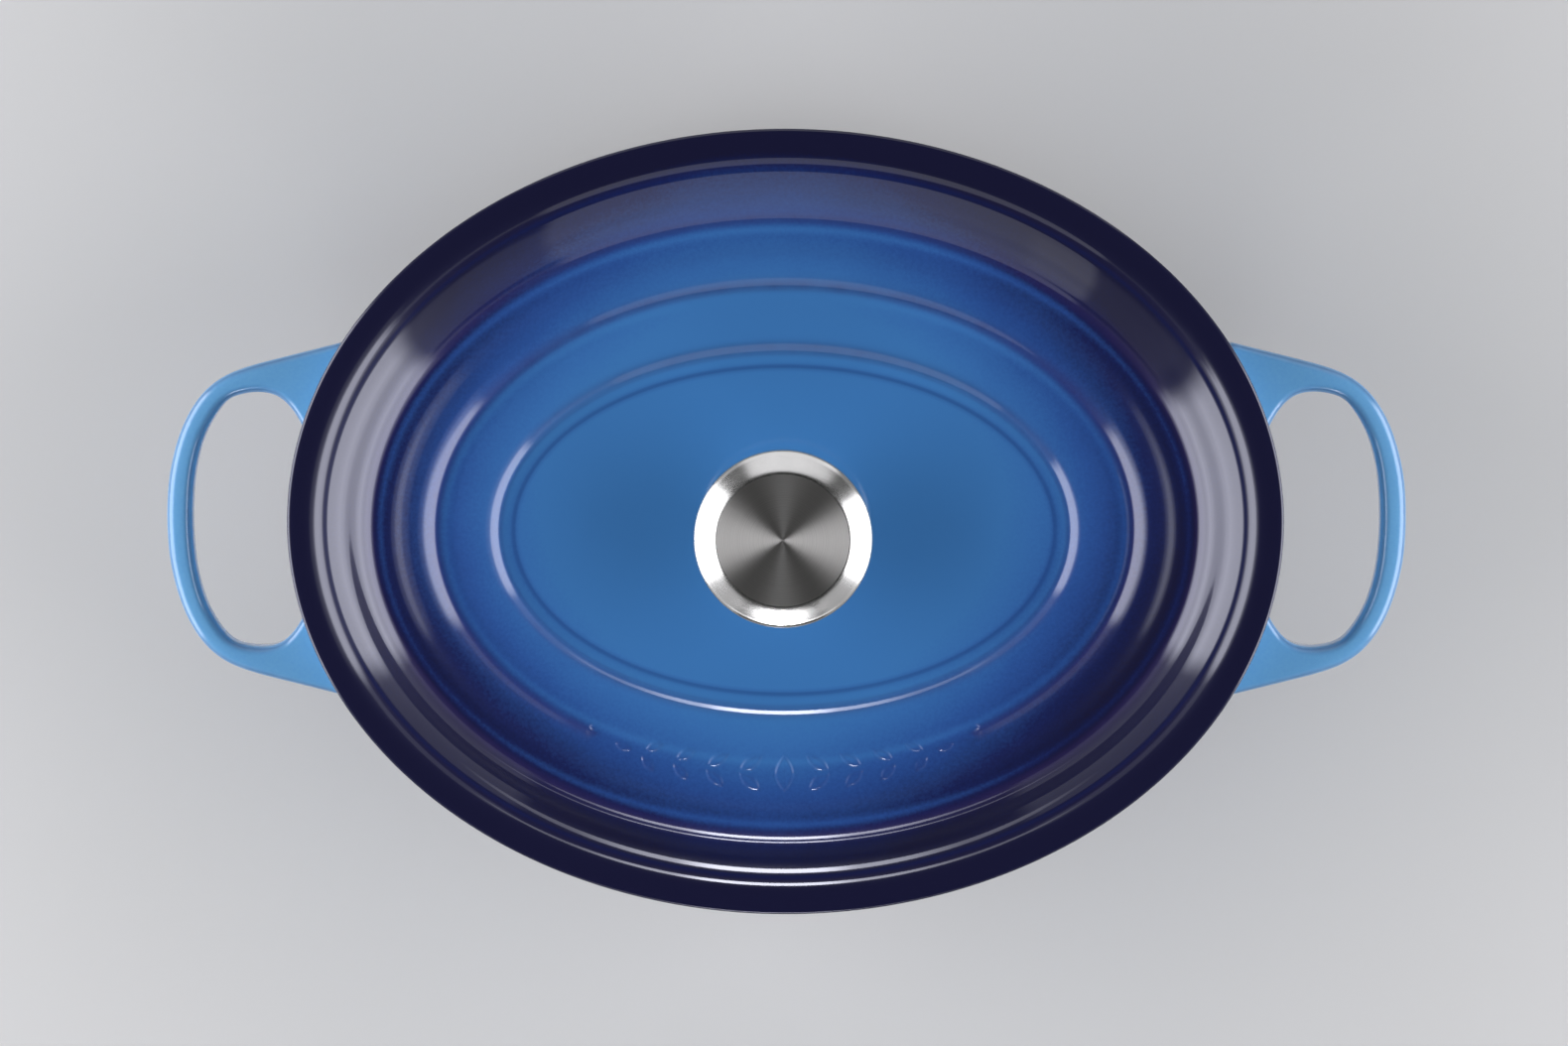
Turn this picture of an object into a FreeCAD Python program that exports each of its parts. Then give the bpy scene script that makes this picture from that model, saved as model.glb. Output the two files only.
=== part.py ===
"""Oval enamelled cast iron dutch oven: a pot with two loop handles, and a terraced lid with a steel knob.

Units are millimetres. +Z is up, +X runs along the length towards one handle and -Y is the front, where the lid
carries its raised motif. The origin is the centre of the pot's foot, on the surface that it stands on.

The pot and the lid are castings whose every level curve is an ellipse. A profile point is (inset, height): the inset
is how far in it lies from the lid's outer edge, so at that point the ellipse's half axes are the lid's less the inset.
"""

import FreeCAD, Part  # noqa: E401  Part can't be imported first

import math
import os

from FreeCAD import Vector

# Driving dimensions
LID_LENGTH = 330.0
LID_WIDTH = 261.0
POT_HEIGHT = 126.0
WALL_DRAFT = 0.075  # how far the wall comes in for each millimetre down
WALL_THICKNESS = 4.5  # under the rim
FLOOR_TOP = 5.2
FOOT_RECESS = 1.2
RIM_INSET = 0.8  # the lid's edge stands this far outside the pot's rim
RIM_WIDTH = 5.4
RIM_ROUND = 1.2

FLANGE_THICKNESS = 5.0
PLATEAU_HEIGHT = 25.0  # the lid's flat top, above the pot's rim
LID_THICKNESS = 4.2
RIB_DEPTH = 5.0
BOSS_RADIUS = 16.5
BOSS_HEIGHT = 0.8
SCREW_HOLE_RADIUS = 3.4
MOTIF_GAP_DEGREES = 33.0  # half of the stretch at the front where the middle ring is left out
MOTIF_RELIEF = 0.7

HANDLE_TOP = 112.0
HANDLE_GRIP_THICKNESS = 9.5
HANDLE_ROOT_THICKNESS = 17.0
HANDLE_REACH = 208.5
HANDLE_ROUND = 2.6
HANDLE_FILLET = 4.0

KNOB_RADIUS = 28.5
KNOB_HEIGHT = 32.0
KNOB_SHEET = 1.2
KNOB_FOOT_RADIUS = 13.5
KNOB_FACE_RADIUS = 21.0
KNOB_SEAM = 25.3  # height of the joint between the knob's cap and its stem
SEAT_WASHER_THICKNESS = 0.8
SCREW_RADIUS = 3.0  # M6, drawn as its plain nominal cylinder

HALF_LENGTH = LID_LENGTH / 2
HALF_WIDTH = LID_WIDTH / 2
EXTRA = 1.0  # how far a cutting tool runs past what it cuts

os.makedirs("parts", exist_ok=True)


# ---------------------------------------------------------------- oval sweeps
def arc_spans(start, stop):
    """The angles that split start to stop, in degrees, into spans of at most a quarter turn."""
    count = max(1, math.ceil((stop - start) / 90.0 - 1e-9))
    step = math.radians(stop - start) / count
    first = math.radians(start)
    return [(first + i * step, first + (i + 1) * step) for i in range(count)]


def arc_poles(first, last):
    """The three poles (x, y, weight) of the unit circle's arc between two angles."""
    middle, half = (first + last) / 2, (last - first) / 2
    bulge = math.cos(half)
    return [
        (math.cos(first), math.sin(first), 1.0),
        (math.cos(middle) / bulge, math.sin(middle) / bulge, bulge),
        (math.cos(last), math.sin(last), 1.0),
    ]


def on_oval(x, y, inset, height):
    return Vector((HALF_LENGTH - inset) * x, (HALF_WIDTH - inset) * y, height)


def clamped_knots(poles, degree):
    """Knots and multiplicities of a clamped uniform B-spline with that many poles."""
    inner = poles - degree - 1
    knots = [i / (inner + 1) for i in range(inner + 2)]
    return knots, [degree + 1] + [1] * inner + [degree + 1]


def run_faces(run, start=0.0, stop=360.0):
    """The faces that one smooth run of profile poles sweeps out around the oval."""
    degree = min(3, len(run) - 1)
    knots, multiplicities = clamped_knots(len(run), degree)
    faces = []
    for first, last in arc_spans(start, stop):
        arc = arc_poles(first, last)
        surface = Part.BSplineSurface()
        surface.buildFromPolesMultsKnots(
            [[on_oval(x, y, inset, height) for inset, height in run] for x, y, _ in arc],
            [3, 3],
            multiplicities,
            [0.0, 1.0],
            knots,
            False,
            False,
            2,
            degree,
            [[weight] * len(run) for _, _, weight in arc],
        )
        faces.append(surface.toShape())
    return faces


def oval_wire(inset, height):
    edges = []
    for first, last in arc_spans(0.0, 360.0):
        arc = arc_poles(first, last)
        curve = Part.BSplineCurve()
        curve.buildFromPolesMultsKnots(
            [on_oval(x, y, inset, height) for x, y, _ in arc],
            [3, 3],
            [0.0, 1.0],
            False,
            2,
            [weight for _, _, weight in arc],
        )
        edges.append(curve.toShape())
    return Part.Wire(edges)


def flat_oval(height, outer, inner=None):
    """A flat face bounded by the oval at one inset, with the oval at a larger inset left out of it."""
    wires = [oval_wire(outer, height)]
    if inner is not None:
        wires.append(oval_wire(inner, height))
    return Part.Face(wires)


def is_level(run):
    return len(run) == 2 and run[0][1] == run[1][1]


def swept_faces(runs):
    faces = []
    for run in runs:
        if is_level(run):
            insets = sorted(inset for inset, _ in run)
            faces.append(flat_oval(run[0][1], *insets))
        else:
            faces += run_faces(run)
    return faces


def solid_of(faces):
    solid = Part.Solid(Part.Shell(faces))
    solid.fix(1e-4, 1e-4, 1e-4)
    if solid.Volume < 0:
        solid.reverse()
    if not solid.isValid():
        raise RuntimeError("a swept solid isn't valid")
    return solid


def ring_sector(runs, start, stop):
    """A closed profile swept over part of the oval, with a flat face at each end."""
    faces = [face for run in runs for face in run_faces(run, start, stop)]
    for angle in (start, stop):
        x, y = math.cos(math.radians(angle)), math.sin(math.radians(angle))
        edges = []
        for run in runs:
            degree = min(3, len(run) - 1)
            knots, multiplicities = clamped_knots(len(run), degree)
            curve = Part.BSplineCurve()
            curve.buildFromPolesMultsKnots(
                [on_oval(x, y, inset, height) for inset, height in run], multiplicities, knots, False, degree
            )
            edges.append(curve.toShape())
        faces.append(Part.Face(Part.Wire(edges)))
    return solid_of(faces)


def disc(radius, bottom, top):
    return Part.makeCylinder(radius, top - bottom, Vector(0, 0, bottom))


def washer(outer, inner, bottom, top):
    return disc(outer, bottom, top).cut(disc(inner, bottom - EXTRA, top + EXTRA))


def fused(shape, *others):
    return shape.fuse(list(others)).removeSplitter()


# ---------------------------------------------------------------- pot
def wall_inset(height):
    """Inset of the pot's outer wall, under the thicker band at its rim."""
    return RIM_INSET + 1.1 + (POT_HEIGHT - 9.0 - height) * WALL_DRAFT


def inner_inset(height):
    return wall_inset(height) + WALL_THICKNESS


def pot_runs():
    """The pot's profile, from the inside floor up over the rim and down to the foot."""
    rim_inner = RIM_INSET + RIM_WIDTH
    corner = 30.0
    inside = [
        (inner_inset(0) + 31.0, FLOOR_TOP),
        (inner_inset(0) + 21.0, FLOOR_TOP),
        (inner_inset(0) + 8.0, FLOOR_TOP + 0.6),
        (inner_inset(0) + 0.8, FLOOR_TOP + 8.0),
        (inner_inset(20), FLOOR_TOP + 22.0),
        (inner_inset(55), 55.0),
        (inner_inset(90), 90.0),
        (rim_inner, POT_HEIGHT - RIM_ROUND),
    ]
    inner_lip = [inside[-1], (rim_inner, POT_HEIGHT), (rim_inner - RIM_ROUND, POT_HEIGHT)]
    rim = [inner_lip[-1], (RIM_INSET + RIM_ROUND, POT_HEIGHT)]
    outer_lip = [rim[-1], (RIM_INSET, POT_HEIGHT), (RIM_INSET, POT_HEIGHT - RIM_ROUND)]
    outside = [
        outer_lip[-1],
        (RIM_INSET, POT_HEIGHT - 4.0),
        (RIM_INSET, POT_HEIGHT - 6.5),
        (wall_inset(POT_HEIGHT - 7.5), POT_HEIGHT - 7.5),
        (wall_inset(POT_HEIGHT - 10.0), POT_HEIGHT - 10.0),
        (wall_inset(90), 90.0),
        (wall_inset(55), 55.0),
        (wall_inset(28), 28.0),
        (wall_inset(10) + 2.2, 11.0),
        (wall_inset(0) + 14.0, 2.6),
        (wall_inset(0) + corner, 1.8),
        (wall_inset(0) + corner + 7.0, 1.6),
    ]
    foot_outer = wall_inset(0) + corner + 8.5
    foot_side = [outside[-1], (foot_outer, 0.0)]
    foot = [foot_side[-1], (foot_outer + 8.0, 0.0)]
    foot_inside = [foot[-1], (foot_outer + 9.6, FOOT_RECESS)]
    return [inside, inner_lip, rim, outer_lip, outside, foot_side, foot, foot_inside]


def pot_shell():
    runs = pot_runs()
    floor, recess = runs[0][0], runs[-1][-1]
    return solid_of(swept_faces(runs) + [flat_oval(floor[1], floor[0]), flat_oval(recess[1], recess[0])])


def through(points):
    """A smooth edge through points (x, y) with y of 0 or more, starting on the X axis, and their mirror images."""
    mirrored = [(x, -y) for x, y in reversed(points[1:])]
    curve = Part.BSplineCurve()
    curve.interpolate([Vector(x, y, 0) for x, y in mirrored + points])
    return curve.toShape()


def handle():
    """The +X loop handle before it is joined to the wall: a flat band, wider and deeper towards its roots."""
    outer = [(HANDLE_REACH, 0.0), (207.0, 17.5), (203.6, 29.5), (197.1, 41.2), (186.8, 49.3), (172.0, 54.0)]
    outer += [(155.0, 58.2), (139.0, 62.4)]
    inner = [(200.0, 0.0), (198.6, 17.5), (195.2, 29.5), (190.0, 37.8), (184.0, 42.0), (177.4, 43.4)]
    inner += [(170.6, 41.5), (165.2, 36.4), (160.6, 27.5), (158.0, 19.0)]
    edges = [through(outer), through(inner)]
    for side in (1, -1):
        root = [Vector(x, side * y, 0) for x, y in (outer[-1], (150.8, 41.5), inner[-1])]
        edges.append(Part.Arc(*root).toShape())
    band = Part.Face(Part.Wire(Part.sortEdges(edges)[0])).extrude(Vector(0, 0, POT_HEIGHT))

    top, grip_low = HANDLE_TOP, HANDLE_TOP - HANDLE_GRIP_THICKNESS
    root_low = HANDLE_TOP - HANDLE_ROOT_THICKNESS
    underside = Part.BSplineCurve()
    poles = [(130.0, root_low - 1), (150.0, root_low - 1), (168.0, root_low), (184.0, grip_low - 0.6)]
    poles += [(194.0, grip_low), (HANDLE_REACH + 9, grip_low)]
    knots, multiplicities = clamped_knots(len(poles), 3)
    underside.buildFromPolesMultsKnots([Vector(x, -90, z) for x, z in poles], multiplicities, knots, False, 3)
    corners = [(poles[-1][0], grip_low), (poles[-1][0], top), (130.0, top), (130.0, root_low - 1)]
    sides = [Vector(x, -90, z) for x, z in corners]
    profile = Part.Face(Part.Wire([underside.toShape()] + Part.makePolygon(sides).Edges))
    loop = band.common(profile.extrude(Vector(0, 180, 0)))
    return loop.makeFillet(HANDLE_ROUND, [edge for edge in loop.Edges if runs_around(edge)])


def runs_around(edge):
    """Whether an edge runs all the way around the handle's grip, outside it or inside it."""
    return edge.BoundBox.YLength > 30.0 and edge.BoundBox.XLength > 30.0


def pot():
    loop = handle()
    opposite = loop.mirror(Vector(0, 0, 0), Vector(1, 0, 0))
    casting = fused(pot_shell(), loop, opposite)
    return casting.makeFillet(HANDLE_FILLET, [edge for edge in casting.Edges if joins_handle_to_wall(edge)])


def joins_handle_to_wall(edge):
    box = edge.BoundBox
    nearest = min(abs(box.XMin), abs(box.XMax))
    furthest = max(abs(box.XMin), abs(box.XMax))
    level = box.ZMin > HANDLE_TOP - HANDLE_ROOT_THICKNESS - 2.0 and box.ZMax < HANDLE_TOP + 0.5
    return level and nearest > 135.0 and furthest < HALF_LENGTH and edge.Length < 60.0


# ---------------------------------------------------------------- lid
FLANGE_TOP = POT_HEIGHT + FLANGE_THICKNESS
PLATEAU_TOP = POT_HEIGHT + PLATEAU_HEIGHT
PLATEAU_UNDER = PLATEAU_TOP - LID_THICKNESS
BOSS_TOP = PLATEAU_TOP + BOSS_HEIGHT
BOSS_UNDER = PLATEAU_UNDER - 1.0

TERRACE = [(43.0, FLANGE_TOP + 15.4), (66.6, FLANGE_TOP + 18.5)]  # the plain slope between shoulder and top ring
SPRIG_INSET = 50.3  # the middle line of the leaf sprig in the middle ring's gap


def terrace_height(inset):
    (low_inset, low), (high_inset, high) = TERRACE
    return low + (high - low) * (inset - low_inset) / (high_inset - low_inset)


def raised(points, base):
    return [(inset, base + height) for inset, height in points]


def lid_runs():
    """The lid's profile, from the plateau out over the edge and back in underneath."""
    ring = raised([(66.6, 18.5), (68.0, 18.7), (69.2, 19.0), (70.8, 19.8), (72.2, 20.5), (73.0, 20.6)], FLANGE_TOP)
    ring += raised([(74.2, 20.2), (76.4, 19.8), (78.2, 19.9)], FLANGE_TOP) + [(80.0, PLATEAU_TOP)]
    swell = raised([(33.0, 13.8), (35.0, 13.8), (37.0, 13.9), (39.4, 14.7), (41.4, 15.2), (43.0, 15.4)], FLANGE_TOP)
    bank = raised([(13.0, 2.2), (13.8, 2.3), (16.2, 3.3), (19.2, 5.3), (22.0, 7.9), (24.6, 10.5)], FLANGE_TOP)
    brow = raised([(26.6, 12.3), (28.6, 13.2), (30.2, 13.9), (31.4, 13.8), (33.0, 13.8)], FLANGE_TOP)
    shoulder = bank + brow
    step = raised([(1.4, 0.0), (5.0, 0.0), (7.2, 0.0), (8.0, 0.1), (9.4, 0.7), (11.0, 1.4)], FLANGE_TOP)
    step += raised([(12.4, 2.2), (13.0, 2.2)], FLANGE_TOP)
    edge = [(1.4, FLANGE_TOP), (0.0, FLANGE_TOP), (0.0, FLANGE_TOP - 1.4)]
    side = [edge[-1], (0.0, POT_HEIGHT + 1.0)]
    lower_edge = [side[-1], (0.0, POT_HEIGHT), (1.0, POT_HEIGHT)]

    rib_bottom = POT_HEIGHT - RIB_DEPTH
    seat = [lower_edge[-1], (8.4, POT_HEIGHT)]
    rib_side = [seat[-1], (8.4, rib_bottom + 1.2)]
    rib_toe = [rib_side[-1], (8.4, rib_bottom), (9.6, rib_bottom)]
    rib_flat = [rib_toe[-1], (10.6, rib_bottom)]
    rib_heel = [rib_flat[-1], (11.8, rib_bottom), (11.8, rib_bottom + 1.2)]
    underneath = [rib_heel[-1]]
    underneath += raised([(11.9, -1.5), (12.1, 1.6), (15.4, 2.9), (19.0, 5.0), (22.4, 7.8), (25.4, 11.0)], POT_HEIGHT)
    underneath += raised([(28.2, 13.6), (31.4, 14.8), (37.5, 14.7), (43.0, 16.2), (55.0, 17.6)], POT_HEIGHT)
    underneath += raised([(65.6, 19.2), (70.1, 20.2)], POT_HEIGHT)
    underneath += [(75.0, PLATEAU_UNDER), (80.0, PLATEAU_UNDER)]
    outside = [ring[::-1], TERRACE[::-1], swell[::-1], shoulder[::-1], step[::-1], edge, side, lower_edge]
    return outside + [seat, rib_side, rib_toe, rib_flat, rib_heel, underneath]


def middle_ring():
    """The lid's second raised ring, left out for a stretch at the front."""
    rises = [(44.5, -0.35), (46.6, -0.1), (47.2, 0.2), (49.2, 0.7), (51.2, 1.5), (52.2, 1.5), (53.4, 0.4)]
    rises += [(54.6, 0.1), (57.0, -0.35)]
    top = [(inset, terrace_height(inset) + rise) for inset, rise in rises]
    return ring_sector([top, [top[-1], top[0]]], -90.0 + MOTIF_GAP_DEGREES, 270.0 - MOTIF_GAP_DEGREES)


def leaf(length, width, angle, inset, turn):
    """One raised leaf of the motif, lying on the slope at an angle around the oval, its tip turned from radial."""
    bulge = width / 2
    tip, tail = Vector(0, length / 2, 0), Vector(0, -length / 2, 0)
    sides = [Part.Arc(tail, Vector(side * bulge, 0, 0), tip).toShape() for side in (1, -1)]
    shape = Part.Face(Part.Wire(Part.sortEdges(sides)[0])).extrude(Vector(0, 0, 2 * MOTIF_RELIEF + 1.0))
    shape.translate(Vector(0, 0, -MOTIF_RELIEF - 1.0))
    shape.rotate(Vector(0, 0, 0), Vector(0, 0, 1), turn)
    tilt = math.degrees(math.atan2(TERRACE[1][1] - TERRACE[0][1], TERRACE[1][0] - TERRACE[0][0]))
    shape.rotate(Vector(0, 0, 0), Vector(1, 0, 0), tilt)
    x, y = math.cos(math.radians(angle)), math.sin(math.radians(angle))
    inwards = math.degrees(math.atan2(-y / (HALF_WIDTH - inset), -x / (HALF_LENGTH - inset)))
    shape.rotate(Vector(0, 0, 0), Vector(0, 0, 1), inwards - 90.0)
    shape.translate(on_oval(x, y, inset, terrace_height(inset)))
    return shape


def motif():
    """A sprig along the front of the lid: an upright leaf in the middle, with pairs of leaves out to each side."""
    leaves = [leaf(12.0, 6.0, -90.0, SPRIG_INSET, 0.0)]
    for side in (1, -1):
        for number in range(1, 5):
            angle = -90.0 + side * 5.6 * number
            size = 1.0 - 0.09 * number
            leaves.append(leaf(9.5 * size, 4.4 * size, angle, SPRIG_INSET - 3.0, side * 128.0))
            leaves.append(leaf(9.5 * size, 4.4 * size, angle, SPRIG_INSET + 3.2, side * 52.0))
        leaves.append(leaf(5.6, 2.8, -90.0 + side * 27.4, SPRIG_INSET, side * 90.0))
    return leaves


def lid():
    runs = lid_runs()
    casting = solid_of(
        swept_faces(runs) + [flat_oval(PLATEAU_TOP, runs[0][0][0]), flat_oval(PLATEAU_UNDER, runs[-1][-1][0])]
    )
    boss = disc(BOSS_RADIUS, PLATEAU_TOP - 1.0, BOSS_TOP)
    boss = boss.makeFillet(0.5, [edge for edge in boss.Edges if edge.BoundBox.ZMin > BOSS_TOP - 0.01])
    pad = disc(11.0, BOSS_UNDER, PLATEAU_UNDER + 1.0)
    pad = pad.makeFillet(0.5, [edge for edge in pad.Edges if edge.BoundBox.ZMax < BOSS_UNDER + 0.01])
    casting = fused(casting, boss, pad, middle_ring(), *motif())
    return casting.cut(disc(SCREW_HOLE_RADIUS, BOSS_UNDER - EXTRA, BOSS_TOP + EXTRA))


# ---------------------------------------------------------------- knob
KNOB_BASE = BOSS_TOP + SEAT_WASHER_THICKNESS
CORE_RADIUS = 6.5
CORE_PLATE_RADIUS = 12.0
CORE_PLATE_THICKNESS = 2.2
THREAD_DEPTH = 14.0


def turned(runs, base):
    """A solid of revolution from joined runs of profile poles (radius, height above base)."""
    edges = []
    for run in runs:
        degree = min(3, len(run) - 1)
        knots, multiplicities = clamped_knots(len(run), degree)
        curve = Part.BSplineCurve()
        curve.buildFromPolesMultsKnots(
            [Vector(radius, 0, base + height) for radius, height in run], multiplicities, knots, False, degree
        )
        edges.append(curve.toShape())
    return Part.Face(Part.Wire(edges)).revolve(Vector(0, 0, 0), Vector(0, 0, 1), 360)


def knob_cap():
    """The pressed steel top of the knob: a flat brushed face, a wide polished bevel and a short skirt."""
    top, bottom, sheet = KNOB_HEIGHT, KNOB_SEAM, KNOB_SHEET
    face = [(0.0, top), (KNOB_FACE_RADIUS, top)]
    bevel = [face[-1], (KNOB_FACE_RADIUS + 0.8, top - 0.1), (24.2, top - 1.6), (27.0, top - 3.1)]
    edge = [bevel[-1], (KNOB_RADIUS, top - 3.9), (KNOB_RADIUS, top - 5.4)]
    skirt = [edge[-1], (KNOB_RADIUS, bottom)]
    seam = [skirt[-1], (KNOB_RADIUS - sheet, bottom)]
    inside = [seam[-1], (KNOB_RADIUS - sheet, top - 5.0), (KNOB_FACE_RADIUS, top - sheet)]
    ceiling = [inside[-1], (0.0, top - sheet)]
    return turned([face, bevel, edge, skirt, seam, inside, ceiling, [ceiling[-1], face[0]]], KNOB_BASE)


def knob_body():
    """The hollow spun steel stem under the cap: a trumpet that narrows to a waist and spreads again at its foot."""
    foot = [(KNOB_FOOT_RADIUS, 0.0), (KNOB_FOOT_RADIUS, 0.8)]
    stem = [foot[-1], (13.3, 2.6), (10.5, 4.6), (10.2, 11.0), (11.8, 17.4), (18.0, 22.0), (25.4, 23.9)]
    stem += [(27.8, 24.5), (28.2, KNOB_SEAM)]
    seam = [stem[-1], (26.9, KNOB_SEAM)]
    hollow = [seam[-1], (25.0, 25.1), (17.0, 23.0), (10.6, 18.2), (8.9, 11.0), (9.0, 4.2), (12.0, 4.0)]
    hollow.append((CORE_PLATE_RADIUS, 2.2))
    mouth = [hollow[-1], (CORE_PLATE_RADIUS, 0.0)]
    return turned([foot, stem, seam, hollow, mouth, [mouth[-1], foot[0]]], KNOB_BASE)


def knob_core():
    """The plate that closes the knob's foot, in one piece with the threaded post that takes the screw."""
    plate = disc(CORE_PLATE_RADIUS, KNOB_BASE, KNOB_BASE + CORE_PLATE_THICKNESS)
    post = disc(CORE_RADIUS, KNOB_BASE, KNOB_BASE + THREAD_DEPTH + 3.0)
    post = post.makeChamfer(0.8, [edge for edge in post.Edges if edge.BoundBox.ZMin > KNOB_BASE + THREAD_DEPTH])
    return fused(plate, post).cut(disc(SCREW_RADIUS, KNOB_BASE - EXTRA, KNOB_BASE + THREAD_DEPTH))


def knob_seat_washer():
    """The thin washer between the knob's foot and the enamel of the lid."""
    return washer(KNOB_FOOT_RADIUS - 0.6, SCREW_HOLE_RADIUS, BOSS_TOP, KNOB_BASE)


FLAT_WASHER_THICKNESS = 1.2
LOCK_WASHER_THICKNESS = 1.5
SCREW_LENGTH = 20.0
SCREW_HEAD_RADIUS = 6.0
SCREW_HEAD_HEIGHT = 3.4


def flat_washer():
    return washer(6.8, 3.2, BOSS_UNDER - FLAT_WASHER_THICKNESS, BOSS_UNDER)


def lock_washer():
    """A split spring washer, drawn squeezed flat."""
    top = BOSS_UNDER - FLAT_WASHER_THICKNESS
    ring = washer(5.9, 3.1, top - LOCK_WASHER_THICKNESS, top)
    slit = Part.makeBox(5.0, 0.7, LOCK_WASHER_THICKNESS + 2 * EXTRA, Vector(2.0, -0.35, 0))
    slit.rotate(Vector(0, 0, 0), Vector(1, 0, 0), 12)
    slit.translate(Vector(0, 0, top - LOCK_WASHER_THICKNESS - EXTRA))
    return ring.cut(slit)


def knob_screw():
    """A pan head screw with a cross recess, driven upwards through the lid into the knob."""
    head_top = BOSS_UNDER - FLAT_WASHER_THICKNESS - LOCK_WASHER_THICKNESS
    head = disc(SCREW_HEAD_RADIUS, head_top - SCREW_HEAD_HEIGHT, head_top)
    rounded = [edge for edge in head.Edges if edge.BoundBox.ZMax < head_top - 1.0]
    head = head.makeFillet(2.0, rounded)
    shank = disc(SCREW_RADIUS, head_top - 0.5, head_top + SCREW_LENGTH)
    tips = [edge for edge in shank.Edges if edge.BoundBox.ZMin > head_top + SCREW_LENGTH - 0.01]
    shank = shank.makeChamfer(0.7, tips)
    screw = fused(head, shank)
    for turn in (0, 90):
        slot = Part.makeBox(6.0, 1.2, 2.2, Vector(-3.0, -0.6, head_top - SCREW_HEAD_HEIGHT))
        slot.rotate(Vector(0, 0, 0), Vector(0, 0, 1), turn + 45)
        screw = screw.cut(slot)
    return screw


# ---------------------------------------------------------------- the nodes
NODES = {
    "pot": pot,
    "lid": lid,
    "knob_cap": knob_cap,
    "knob_body": knob_body,
    "knob_core": knob_core,
    "knob_seat_washer": knob_seat_washer,
    "knob_screw": knob_screw,
    "flat_washer": flat_washer,
    "lock_washer": lock_washer,
}

for name, build in NODES.items():
    solid = build()
    if len(solid.Solids) != 1 or not solid.isValid():
        raise RuntimeError(f"{name} isn't one valid solid")
    solid.Solids[0].exportStep(f"parts/{name}.step")
    box = solid.BoundBox
    print(f"{name}: {solid.Volume / 1000:.1f} cm3, {box.XLength:.1f} x {box.YLength:.1f} x {box.ZLength:.1f}")
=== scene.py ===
"""Looks for the oval enamelled cast iron dutch oven: castings, knob, enamel, steel, studio and camera.

Shapes are worked out in millimetres in the CAD's frame and become metres when a mesh is made. The castings'
level curves are ellipses, so a profile is a list of (inset, height), where the inset is measured in from the
lid's edge.
"""

import math

import bpy
import numpy as np
from mathutils import Matrix


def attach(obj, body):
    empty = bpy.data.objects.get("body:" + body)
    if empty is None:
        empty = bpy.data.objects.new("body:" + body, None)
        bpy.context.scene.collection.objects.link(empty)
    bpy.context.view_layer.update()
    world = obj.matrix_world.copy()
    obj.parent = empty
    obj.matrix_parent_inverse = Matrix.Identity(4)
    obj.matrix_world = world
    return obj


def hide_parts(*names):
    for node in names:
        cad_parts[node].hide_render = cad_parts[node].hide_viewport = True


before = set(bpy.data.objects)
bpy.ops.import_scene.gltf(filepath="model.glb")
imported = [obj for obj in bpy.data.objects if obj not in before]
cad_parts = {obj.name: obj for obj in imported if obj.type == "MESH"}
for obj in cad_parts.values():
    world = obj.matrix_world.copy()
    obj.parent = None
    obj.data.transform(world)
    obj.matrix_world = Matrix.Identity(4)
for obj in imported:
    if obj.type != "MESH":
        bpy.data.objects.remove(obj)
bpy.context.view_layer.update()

MM = 0.001
HALF_LENGTH, HALF_WIDTH = 165.0, 130.5  # of the lid's outline
POT_HEIGHT = 126.0
FLOOR_TOP = 5.2
WALL_THICKNESS = 4.5
WALL_DRAFT = 0.075  # how far the wall comes in for each millimetre down
RIM_INSET = 0.8
BAND_BOTTOM = POT_HEIGHT - 9.0  # the rim's thicker band ends here
HANDLE_TOP = 112.0
HANDLE_CROWN = 0.25  # how much higher a loop's top is in its middle
BAND_CORNER = 3.0  # a loop's edge radius, where the loop is wide enough
FLANGE_TOP = POT_HEIGHT + 5.0
PLATEAU_TOP = POT_HEIGHT + 25.0
CEILING = PLATEAU_TOP - 4.2  # the lid's underside, below its flat top
RIB_BOTTOM = POT_HEIGHT - 5.0
BOSS_TOP = PLATEAU_TOP + 0.8
SCREW_HOLE_RADIUS = 3.5
KNOB_BASE = BOSS_TOP + 0.8  # the top of the washer under the knob
KNOB_HEIGHT = 32.0
CAP_BOTTOM = 25.3  # above the knob's base
CAP_RADIUS = 28.5

OUTSIDE, BARE, INSIDE = 0, 1, 2  # which coat a stretch of a casting has: coloured, matt black or pale


# ---------------------------------------------------------------- curves
def spline(poles, count):
    """Points along the clamped uniform B-spline that the CAD sweeps, of degree 3 or fewer."""
    poles = np.array(poles, dtype=float)
    degree = min(3, len(poles) - 1)
    inner = len(poles) - degree - 1
    knots = np.concatenate([np.zeros(degree), np.linspace(0, 1, inner + 2), np.ones(degree)])
    t = np.linspace(0, 1, count)
    t[-1] = 1 - 1e-12
    basis = ((knots[:-1] <= t[:, None]) & (t[:, None] < knots[1:])).astype(float)
    for k in range(1, degree + 1):
        spans = len(knots) - k - 1
        low, high = knots[:spans], knots[k + 1 : k + 1 + spans]
        left = np.where(knots[k : k + spans] > low, knots[k : k + spans] - low, np.inf)
        right = np.where(high > knots[1 : 1 + spans], high - knots[1 : 1 + spans], np.inf)
        rising = (t[:, None] - low) / left * basis[:, :spans]
        falling = (high - t[:, None]) / right * basis[:, 1 : spans + 1]
        basis = rising + falling
    return basis @ poles


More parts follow.
